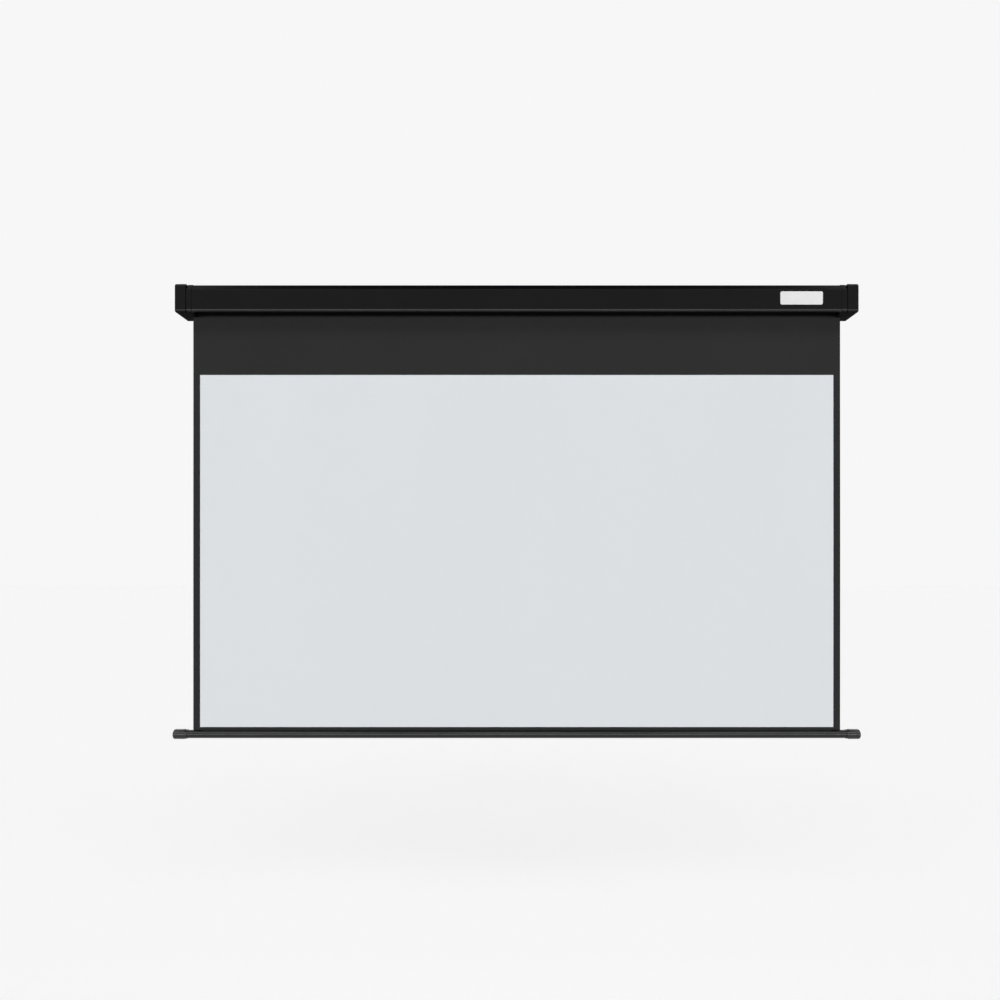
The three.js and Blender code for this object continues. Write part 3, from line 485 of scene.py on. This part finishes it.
BLACK_COAT = powder_coat("casing_black_coat", (0.0026, 0.0026, 0.003), roughness=0.17, specular=0.125)
BLACK_MOULDED = moulded_plastic("cap_black_moulded", (0.003, 0.003, 0.0034), roughness=0.2, specular=0.115)
BAR_BLACK = gloss_paint("bar_black_enamel", (0.002, 0.002, 0.0024), roughness=0.19, specular=0.36)
BAR_CAP_BLACK = moulded_plastic("bar_cap_black", (0.004, 0.004, 0.005), roughness=0.22, specular=0.46)
# A duller, barely glossy copy of the caps' black for their down-facing faces: painted shade, so the
# undersides look shaded under any lamp.
BLACK_UNDERSIDE_PAINTED_SHADE = moulded_plastic(
    "cap_underside_painted_shade", (0.009, 0.009, 0.0095), roughness=0.7, specular=0.015,
)
PLATE_WHITE = moulded_plastic(
    "bare_plate_white", (0.76, 0.76, 0.765), roughness=0.6, specular=0.2, mottle=0.97,
)
SHEET_BLACK = screen_cloth(
    "sheet_black_side", (0.0238, 0.0238, 0.0238), (0.0255, 0.0255, 0.0255), roughness=0.75, specular=0.05,
)
SHEET_WHITE = screen_cloth(
    "sheet_white_side", (0.70, 0.73, 0.752), (0.69, 0.72, 0.742), roughness=0.88, specular=0.1,
)
ZINC = metal("zinc_plate", (0.55, 0.56, 0.57), roughness=0.4)
DARK_SCREW = metal("black_zinc", (0.03, 0.03, 0.032), roughness=0.4)
SPRING_STEEL = metal("oiled_spring_steel", (0.22, 0.22, 0.23), roughness=0.35)
MILL_ALUMINIUM = metal("mill_aluminium", (0.68, 0.69, 0.7), roughness=0.35)
NYLON = moulded_plastic("natural_nylon", (0.62, 0.6, 0.53), roughness=0.5, specular=0.5, mottle=0.92)
PLUG_BLACK = moulded_plastic("plug_black", (0.015, 0.015, 0.015), roughness=0.5)


def casing_corners(foot_bend, chamfer_bend):
    """The casing's outside line, from its front lip over the top to its back lip."""
    return [
        (-depth + FRONT_LIP, -half_height),
        (-depth + FOOT_CHAMFER_DEPTH, -half_height, foot_bend),
        (-depth, -half_height + FOOT_CHAMFER_HEIGHT, FOOT_CHAMFER_BEND),
        (-depth, half_height - TOP_CHAMFER_HEIGHT, chamfer_bend),
        (-depth + TOP_CHAMFER_DEPTH, half_height, chamfer_bend),
        (0, half_height, BACK_BEND),
        (0, -half_height, BACK_BEND),
        (-BACK_LIP, -half_height),
    ]


casing_line = casing_corners(FOOT_EDGE_BEND, CHAMFER_BEND)
spigot_corners = casing_corners(SPIGOT_BEND, SPIGOT_BEND)


def casing_shell():
    """The folded steel shell, with its two hems turned up along the slot."""
    folded = rounded_path([
        (-depth + FRONT_LIP, -half_height + HEM_HEIGHT),
        (*casing_line[0], HEM_BEND),
        *casing_line[1:-1],
        (*casing_line[-1], HEM_BEND),
        (-BACK_LIP, -half_height + HEM_HEIGHT),
    ])
    strip = prism(band(folded, -SHELL_THICKNESS, 0), shell_low.x, shell_high.x)
    piece(
        strip, "casing_steel", "casing", "casing_paint", BLACK_COAT, "casing_shell", edge=SHELL_BROKEN_EDGE,
    )


def slot_tongue():
    """Closes the end of the slot in front of the sheet."""
    lip_end = -depth + FRONT_LIP
    back = sheet_y - TONGUE_SETBACK
    top = -half_height + CAP_WALL
    outline = [
        (lip_end - CAP_WALL, -cap_top),
        (back, -cap_top),
        (back, top),
        (lip_end + SEAT_GAP, top),
        (lip_end + SEAT_GAP, -half_height - SEAT_GAP),
        (lip_end - CAP_WALL, -half_height - SEAT_GAP),
    ]
    return prism([Vector(p) for p in outline], collar_inner, cap_inner + CAP_WALL)


def cap_block(line):
    """The block's solid, with a small edge at the seam and a round one at its outer end."""
    sections = []
    for angle in QUARTER_TURN:
        x = cap_inner + CAP_INNER_EDGE * (1 - math.cos(angle))
        sections.append((x, offset(line, -CAP_INNER_EDGE * (1 - math.sin(angle)))))
    for angle in QUARTER_TURN:
        x = cap_outer - CAP_EDGE_RADIUS * (1 - math.sin(angle))
        sections.append((x, offset(line, -CAP_EDGE_RADIUS * (1 - math.cos(angle)))))
    return loft(sections)


def screw_recess(screw):
    """The tool that cuts the seat of a screw's head into the cap's outer end."""
    low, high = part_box(screw)
    middle = (low + high) / 2
    radius = (high.y - low.y) / 2 + SEAT_GAP
    floor = cap_outer - SCREW_HEAD_HEIGHT
    mouth = cap_outer + OVERRUN
    profile = [(0, floor), (radius, floor), (radius, mouth), (0, mouth)]
    return lathe(profile, middle.y, middle.z, SCREW_STEPS)


def end_cap():
    """The right-hand cap: a hollow block, a dark seam, and a collar over the shell."""
    block_line = rounded_path(
        [
            (cap_front + FOOT_CHAMFER_DEPTH, -cap_top, CAP_FOOT_RADIUS),
            (cap_front, -cap_top + FOOT_CHAMFER_HEIGHT, FOOT_CHAMFER_BEND),
            (cap_front, cap_top, CAP_BROW_RADIUS),
            (0, cap_top, CAP_CORNER_RADIUS),
            (0, -cap_top, CAP_CORNER_RADIUS),
        ],
        closed=True,
    )
    line = rounded_path(casing_line)
    neck_line = rounded_path(spigot_corners)
    closed_line = rounded_path(spigot_corners[1:-1], closed=True)
    spigot_line = rounded_path([
        (-depth, -half_height + FRONT_LIP),
        *spigot_corners[3:6],
        (0, -half_height + BACK_LIP),
    ])
    inside = -SHELL_THICKNESS - SEAT_GAP
    bore = inside - SPIGOT_WALL
    web_inner = collar_outer - COLLAR_WEB

    neck = prism(band(neck_line, bore, -NECK_DEPTH), web_inner, cap_inner + CAP_WALL)
    opening = prism(offset(closed_line, bore), collar_inner - OVERRUN, cap_inner + CAP_WALL + OVERRUN)
    opened = combine(combine(cap_block(block_line), [neck], "UNION"), [opening], "DIFFERENCE")

    collar_edges = [
        (collar_inner, COLLAR_EDGE),
        (collar_inner + COLLAR_EDGE, 0),
        (collar_outer - COLLAR_EDGE, 0),
        (collar_outer, COLLAR_EDGE),
    ]
    collar = loft([(x, band(line, SEAT_GAP, CAP_PROUD - inset)) for x, inset in collar_edges])
    web = prism(band(line, inside, CAP_PROUD - COLLAR_EDGE), web_inner, collar_outer - COLLAR_EDGE)
    spigot = prism(band(spigot_line, bore, inside), collar_outer - SPIGOT_LENGTH, web_inner + SEAT_GAP)
    whole = combine(opened, [collar, web, spigot, slot_tongue()], "UNION")

    hollow = prism(offset(block_line, -CAP_WALL), cap_inner + CAP_WALL, cap_outer - CAP_WALL)
    half_window = bracket_high.z + SEAT_GAP
    window = box(
        cap_inner + CAP_WALL, cap_outer - CAP_WALL,
        -CAP_WALL - OVERRUN, OVERRUN,
        -half_window, half_window,
    )
    past_wall = box(
        collar_inner - OVERRUN, cap_outer + OVERRUN,
        0, CAP_PROUD + OVERRUN,
        -cap_top - OVERRUN, cap_top + OVERRUN,
    )
    recesses = [screw_recess(screw) for screw in ("end_screw_right_lower", "end_screw_right_upper")]
    return combine(whole, [hollow, window, past_wall, *recesses], "DIFFERENCE")


def end_caps():
    """Both caps, with a duller copy of their material put on the faces that look down, as painted shade."""
    right = end_cap()
    left = mirrored(right)
    caps = [
        piece(right, "moulded_cap_right", "casing", "cap_plastic", BLACK_MOULDED, "end_cap_right"),
        piece(left, "moulded_cap_left", "casing", "cap_plastic", BLACK_MOULDED, "end_cap_left"),
    ]
    # Faces that look down take the duller copy, as painted shade.
    for cap in caps:
        cap.data.materials.append(BLACK_UNDERSIDE_PAINTED_SHADE)
        for face in cap.data.polygons:
            face.material_index = 1 if face.normal.z < PAINTED_SHADE_SLOPE else 0


def bare_plate():
    """The small light plate on the casing's front, left bare."""
    half_w, half_h = PLATE_WIDTH / 2, PLATE_HEIGHT / 2
    corners = [
        (-half_w, -half_h, PLATE_CORNER),
        (half_w, -half_h, PLATE_CORNER),
        (half_w, half_h, PLATE_CORNER),
        (-half_w, half_h, PLATE_CORNER),
    ]
    outline = [point for point, _ in rounded_path(corners, closed=True)]
    bm = prism(outline, 0, PLATE_THICKNESS)
    to_front = Matrix(((0, 1, 0, PLATE_X), (-1, 0, 0, -depth), (0, 0, 1, PLATE_Z), (0, 0, 0, 1)))
    bmesh.ops.transform(bm, matrix=to_front, verts=bm.verts)
    piece(bm, "bare_plate", "casing", None, PLATE_WHITE, edge=PLATE_BROKEN_EDGE)


def spaced(low, high, count, *kept):
    """Evenly spaced places from low to high, and the kept ones in place of any within a third of a step."""
    evenly = [low + (high - low) * k / count for k in range(count + 1)]
    near = (high - low) / count / 3
    return sorted([v for v in evenly if all(abs(v - k) > near for k in kept)] + list(kept))


def sheet_wave(x, z):
    """How far the hanging sheet stands out of its plane: faint ripples, and a curl at its side edges."""
    share_down = (sheet_high.z - z) / (sheet_high.z - sheet_low.z)
    held = math.sin(math.pi * min(1, max(0, share_down)))
    ripple = math.sin(x * RIPPLES_ACROSS + RIPPLE_START) * RIPPLE_HEIGHT
    curl = (abs(x) / sheet_high.x) ** EDGE_CURL_POWER * EDGE_CURL
    return held * (ripple + curl * math.cos(z * EDGE_CURLS_DOWN))


def length_of_sheet(low, high, steps, *kept):
    """A closed thin length of the sheet, with the picture's faces given the second material."""
    left, right = picture_low.x, picture_high.x
    columns = spaced(sheet_low.x, sheet_high.x, SHEET_COLUMNS, sheet_low.x, left, right, sheet_high.x)
    rows = spaced(low, high, steps, low, *kept, high)
    bm = bmesh.new()
    layers = []
    for side in (picture_low.y, sheet_high.y):
        layers.append([[bm.verts.new((x, side + sheet_wave(x, z), z)) for x in columns] for z in rows])
    front, back = layers
    for r in range(len(rows) - 1):
        for c in range(len(columns) - 1):
            ahead = bm.faces.new((front[r][c], front[r][c + 1], front[r + 1][c + 1], front[r + 1][c]))
            bm.faces.new((back[r][c], back[r + 1][c], back[r + 1][c + 1], back[r][c + 1]))
            in_width = left <= columns[c] and columns[c + 1] <= right
            in_height = picture_low.z <= rows[r] and rows[r + 1] <= picture_high.z
            ahead.material_index = 1 if in_width and in_height else 0
    for r in range(len(rows) - 1):
        bm.faces.new((front[r][0], front[r + 1][0], back[r + 1][0], back[r][0]))
        bm.faces.new((front[r][-1], back[r][-1], back[r + 1][-1], front[r + 1][-1]))
    for c in range(len(columns) - 1):
        bm.faces.new((front[0][c], back[0][c], back[0][c + 1], front[0][c + 1]))
        bm.faces.new((front[-1][c], front[-1][c + 1], back[-1][c + 1], back[-1][c]))
    return bm


def hanging_sheet():
    """The sheet, white within the picture's edges, hung from the casing; the real sheet winds into the
    casing as the bar goes up.

    The border under the picture rides on the bar, because it is all that shows when the bar is right up.
    """
    hung = length_of_sheet(picture_low.z, sheet_high.z, HANGING_ROWS, picture_high.z)
    sheet = piece(
        hung, "hanging_sheet", "casing", "sheet_white", SHEET_BLACK, "screen_sheet", "viewing_surface",
    )
    sheet.data.materials.append(SHEET_WHITE)
    under = length_of_sheet(sheet_low.z, picture_low.z, BORDER_ROWS)
    border = piece(under, "lower_border", "bottom_bar", "sheet_black", SHEET_BLACK)
    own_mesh(sheet)


def bar_tube():
    """The bottom bar's tube, slotted along its top."""
    radius = (tube_high.y - tube_low.y) / 2
    centre_z = tube_low.z + radius
    half_slot = math.asin(BAR_SLOT / 2 / radius)
    line = arc(radius, math.pi / 2 + half_slot, 2.5 * math.pi - half_slot, ROUND_STEPS)
    samples = [(p, p.normalized()) for p in line]
    outline = [p + Vector((sheet_y, centre_z)) for p in band(samples, -BAR_WALL, 0)]
    strip = prism(outline, tube_low.x, tube_high.x)
    piece(strip, "bar_enamelled_tube", "bottom_bar", "bar_paint", BAR_BLACK, "bar_tube")


def bar_caps():
    """The bar's two end caps, each with a thinner neck at its mouth."""
    radius = (bar_cap_high.y - bar_cap_low.y) / 2
    bore = (tube_high.y - tube_low.y) / 2 + SEAT_GAP
    inner, outer = bar_cap_low.x, bar_cap_high.x
    floor = tube_high.x + SEAT_GAP
    neck = bore + BAR_CAP_NECK_WALL
    neck_end = inner + BAR_CAP_NECK_LENGTH
    shoulder = neck_end + BAR_CAP_SHOULDER
    profile = [
        (bore, inner),
        (neck - BAR_CAP_SHARP, inner),
        (neck, inner + BAR_CAP_SHARP),
        (neck, neck_end),
        (radius - BAR_CAP_SHARP, shoulder),
        (radius, shoulder + BAR_CAP_SHARP),
    ]
    for angle in QUARTER_TURN:
        profile.append((
            radius - BAR_CAP_EDGE * (1 - math.cos(angle)),
            outer - BAR_CAP_EDGE * (1 - math.sin(angle)),
        ))
    profile += [(0, outer), (0, floor), (bore, floor)]
    right = lathe(profile, sheet_y, (bar_cap_low.z + bar_cap_high.z) / 2)
    left = mirrored(right)
    piece(right, "bar_end_right", "bottom_bar", "bar_cap_plastic", BAR_CAP_BLACK, "bar_cap_right")
    piece(left, "bar_end_left", "bottom_bar", "bar_cap_plastic", BAR_CAP_BLACK, "bar_cap_left")


def screw(length):
    """A screw along +X from its tip, with a domed head and a cross recess."""
    seat = length - SCREW_HEAD_HEIGHT
    rim = seat + SCREW_RIM_HEIGHT
    profile = [
        (0, 0),
        (SCREW_TIP_RADIUS, 0),
        (SCREW_SHANK_RADIUS, SCREW_TIP_LENGTH),
        (SCREW_SHANK_RADIUS, seat),
        (SCREW_HEAD_RADIUS, seat),
        (SCREW_HEAD_RADIUS, rim),
    ]
    for k in range(1, DOME_STEPS):
        angle = math.pi / 2 * k / DOME_STEPS
        profile.append((SCREW_HEAD_RADIUS * math.cos(angle), rim + (length - rim) * math.sin(angle)))
    profile.append((0, length))
    arms = ((CROSS_REACH, CROSS_HALF_WIDTH), (CROSS_HALF_WIDTH, CROSS_REACH))
    cross = [box(length - CROSS_DEPTH, length + OVERRUN, -a, a, -b, b) for a, b in arms]
    return combine(lathe(profile, steps=SCREW_STEPS), cross, "DIFFERENCE")


def screws():
    """The eight screws: upright in the collars, and along X in the caps' outer ends."""
    for name in [n for n in nodes if n.startswith(("end_screw", "top_screw"))]:
        low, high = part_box(name)
        centre = (low + high) / 2
        if name.startswith("top"):
            bm = screw(high.z - low.z)
            place = Matrix.Translation((centre.x, centre.y, low.z)) @ Matrix.Rotation(-math.pi / 2, 4, "Y")
        elif centre.x > 0:
            bm = screw(high.x - low.x)
            place = Matrix.Translation((low.x, centre.y, centre.z))
        else:
            bm = screw(high.x - low.x)
            place = Matrix.Translation((high.x, centre.y, centre.z)) @ Matrix.Rotation(math.pi, 4, "Z")
        bmesh.ops.transform(bm, matrix=place, verts=bm.verts)
        piece(bm, name + "_cross_head", "casing", "screw_black", DARK_SCREW, name)


def wound_sheet():
    """The turns of sheet left on the roller, as one smooth spiral."""
    axis_y = (roller_low.y + roller_high.y) / 2
    radius = sheet_y - axis_y
    steps = int(WRAP_TURNS * ROUND_STEPS)
    line = []
    for k in range(steps + 1):
        turned = k / steps * WRAP_TURNS
        angle = turned * 2 * math.pi
        out = Vector((math.cos(angle), math.sin(angle)))
        line.append((Vector((axis_y, 0)) + out * (radius - turned * WRAP_SPACING), out))
    half = (sheet_high.y - sheet_low.y) / 2
    bm = prism(band(line, -half, half), wraps_low.x, wraps_high.x)
    piece(bm, "wound_sheet", "roller", "sheet_black", SHEET_BLACK, "fabric_wraps")


def inner_finishes():
    """Gives every node of the frame that still shows a material of its own."""
    by_slot = {
        "plated_steel": ZINC,
        "nylon": NYLON,
        "plug_plastic": PLUG_BLACK,
        "spring_steel": SPRING_STEEL,
        "roller_aluminium": MILL_ALUMINIUM,
        "sheet_black": SHEET_BLACK,
    }
    for part in frame["record"]["subparts"]:
        node = nodes[part["node"]]
        material = by_slot.get(part["material_slot"])
        if material and not node.hide_render:
            node.data.materials.clear()
            node.data.materials.append(material)


def camera():
    """Looks straight at the screen from the photograph's place, framed by a small shift."""
    scale = (picture_high.z - picture_low.z) / (PICTURE_BOTTOM_PX - PICTURE_TOP_PX)
    distance = scale * PHOTO_SIZE * LENS / SENSOR
    level = picture_high.z - (PHOTO_EYE_LEVEL_PX - PICTURE_TOP_PX) * scale
    data = bpy.data.cameras.new("camera")
    data.lens = LENS
    data.sensor_width = SENSOR
    data.clip_end = CLIP_END
    data.shift_x = (PHOTO_SIZE / 2 - PHOTO_MIDDLE_PX) / PHOTO_SIZE
    data.shift_y = (PHOTO_EYE_LEVEL_PX - PHOTO_SIZE / 2) / PHOTO_SIZE
    made = bpy.data.objects.new("camera", data)
    made.location = (0, picture_low.y - distance, level)
    made.rotation_euler = (math.pi / 2, 0, 0)
    bpy.context.scene.collection.objects.link(made)
    bpy.context.scene.camera = made


def grey(value):
    return (value, value, value, 1)


def math_node(tree, operation, first, second):
    """One step of arithmetic in a node tree. The second value is a socket or a number."""
    made = tree.nodes.new("ShaderNodeMath")
    made.operation = operation
    tree.links.new(first, made.inputs[0])
    if isinstance(second, (int, float)):
        made.inputs[1].default_value = second
    else:
        tree.links.new(second, made.inputs[1])
    return made.outputs[0]


def eased(tree, value, start, end, before, after):
    """Turns smoothly from one number to another while a value goes from start to end."""
    made = tree.nodes.new("ShaderNodeMapRange")
    made.interpolation_type = "SMOOTHSTEP"
    made.inputs["From Min"].default_value = start
    made.inputs["From Max"].default_value = end
    made.inputs["To Min"].default_value = before
    made.inputs["To Max"].default_value = after
    tree.links.new(value, made.inputs["Value"])
    return made.outputs["Result"]


def seen_straight_or_mirrored(tree):
    """1 for the camera's rays and for those that metal and glass send on, and 0 for the rest."""
    rays = tree.nodes.new("ShaderNodeLightPath").outputs
    straight = math_node(tree, "MAXIMUM", rays["Is Camera Ray"], rays["Is Transmission Ray"])
    return math_node(tree, "MAXIMUM", straight, rays["Is Glossy Ray"])


def pale_floor():
    """A floor that shows the object's shadow and is otherwise as white as the backdrop.

    It casts no shadow itself, because the low lamps shine from just under the horizon.
    """
    floor_z = bar_cap_low.z - FLOOR_DROP
    reach = FLOOR_REACH
    bm = bmesh.new()
    corners = ((-reach, -reach), (reach, -reach), (reach, reach), (-reach, reach))
    bm.faces.new([bm.verts.new((x, y, floor_z)) for x, y in corners])
    floor = to_object(bm, "floor")
    floor.visible_shadow = False
    material = bpy.data.materials.new("pale_floor")
    material.use_nodes = True
    tree = material.node_tree
    base = tree.nodes["Principled BSDF"]
    base.inputs["Base Color"].default_value = grey(FLOOR_GREY)
    base.inputs["Roughness"].default_value = FLOOR_ROUGHNESS
    base.inputs["Specular IOR Level"].default_value = 0
    glow = tree.nodes.new("ShaderNodeEmission")
    glow.inputs["Color"].default_value = grey(1)
    strength = math_node(tree, "MULTIPLY", seen_straight_or_mirrored(tree), FLOOR_GLOW)
    tree.links.new(strength, glow.inputs["Strength"])
    add = tree.nodes.new("ShaderNodeAddShader")
    tree.links.new(base.outputs[0], add.inputs[0])
    tree.links.new(glow.outputs[0], add.inputs[1])
    tree.links.new(add.outputs[0], tree.nodes["Material Output"].inputs["Surface"])
    floor.data.materials.append(material)


def surround():
    """A world with a soft band of light at the horizon, and a white backdrop where it is seen.

    The backdrop turns dark near the zenith, which the casing's sloping top mirrors.
    """
    world = bpy.data.worlds.new("studio")
    bpy.context.scene.world = world
    world.use_nodes = True
    tree = world.node_tree
    tree.nodes.clear()
    place = tree.nodes.new("ShaderNodeTexCoord")
    split = tree.nodes.new("ShaderNodeSeparateXYZ")
    tree.links.new(place.outputs["Generated"], split.inputs[0])
    up = split.outputs["Z"]
    sky = tree.nodes.new("ShaderNodeBackground")
    sky.inputs["Color"].default_value = grey(SKY_GREY)
    light = eased(tree, up, SKY_BAND_START, SKY_BAND_END, SKY_LOW, SKY_TOP)
    tree.links.new(light, sky.inputs["Strength"])
    backdrop = tree.nodes.new("ShaderNodeBackground")
    backdrop.inputs["Color"].default_value = grey(BACKDROP_GREY)
    ceiling = eased(tree, up, CEILING_START, CEILING_END, 1, CEILING_GLOW)
    tree.links.new(ceiling, backdrop.inputs["Strength"])
    mix = tree.nodes.new("ShaderNodeMixShader")
    tree.links.new(seen_straight_or_mirrored(tree), mix.inputs["Fac"])
    tree.links.new(sky.outputs[0], mix.inputs[1])
    tree.links.new(backdrop.outputs[0], mix.inputs[2])
    out = tree.nodes.new("ShaderNodeOutputWorld")
    tree.links.new(mix.outputs[0], out.inputs["Surface"])


def sun(name, elevation, azimuth, strength, spread):
    """A soft, distant lamp. Azimuth 0 shines along +Y, and elevation is above the horizon."""
    data = bpy.data.lights.new(name, "SUN")
    data.energy = strength
    data.angle = math.radians(spread)
    made = bpy.data.objects.new(name, data)
    made.rotation_euler = (math.radians(90 - elevation), 0, math.radians(azimuth))
    bpy.context.scene.collection.objects.link(made)


def lamps():
    """A low and a high row of soft lamps in front of the screen, and a lamp behind each side."""
    for step in range(-STRIP_LAMPS, STRIP_LAMPS + 1):
        name = f"front_strip_{step + STRIP_LAMPS}"
        sun(name, STRIP_ELEVATION, step * STRIP_SPACING, STRIP_STRENGTH, STRIP_SPACING)
    for step in range(-HIGH_LAMPS, HIGH_LAMPS + 1):
        name = f"high_strip_{step + HIGH_LAMPS}"
        sun(name, HIGH_ELEVATION, step * HIGH_SPACING, HIGH_STRENGTH, HIGH_SPREAD)
    sun("behind_left", BEHIND_ELEVATION, -BEHIND_AZIMUTH, BEHIND_STRENGTH, BEHIND_SPREAD)
    sun("behind_right", BEHIND_ELEVATION, BEHIND_AZIMUTH, BEHIND_STRENGTH, BEHIND_SPREAD)


casing_shell()
end_caps()
bare_plate()
hanging_sheet()
bar_tube()
bar_caps()
screws()
wound_sheet()
inner_finishes()
camera()
pale_floor()
surround()
lamps()
bpy.context.scene.view_settings.view_transform = "Standard"

bpy.context.view_layer.update()
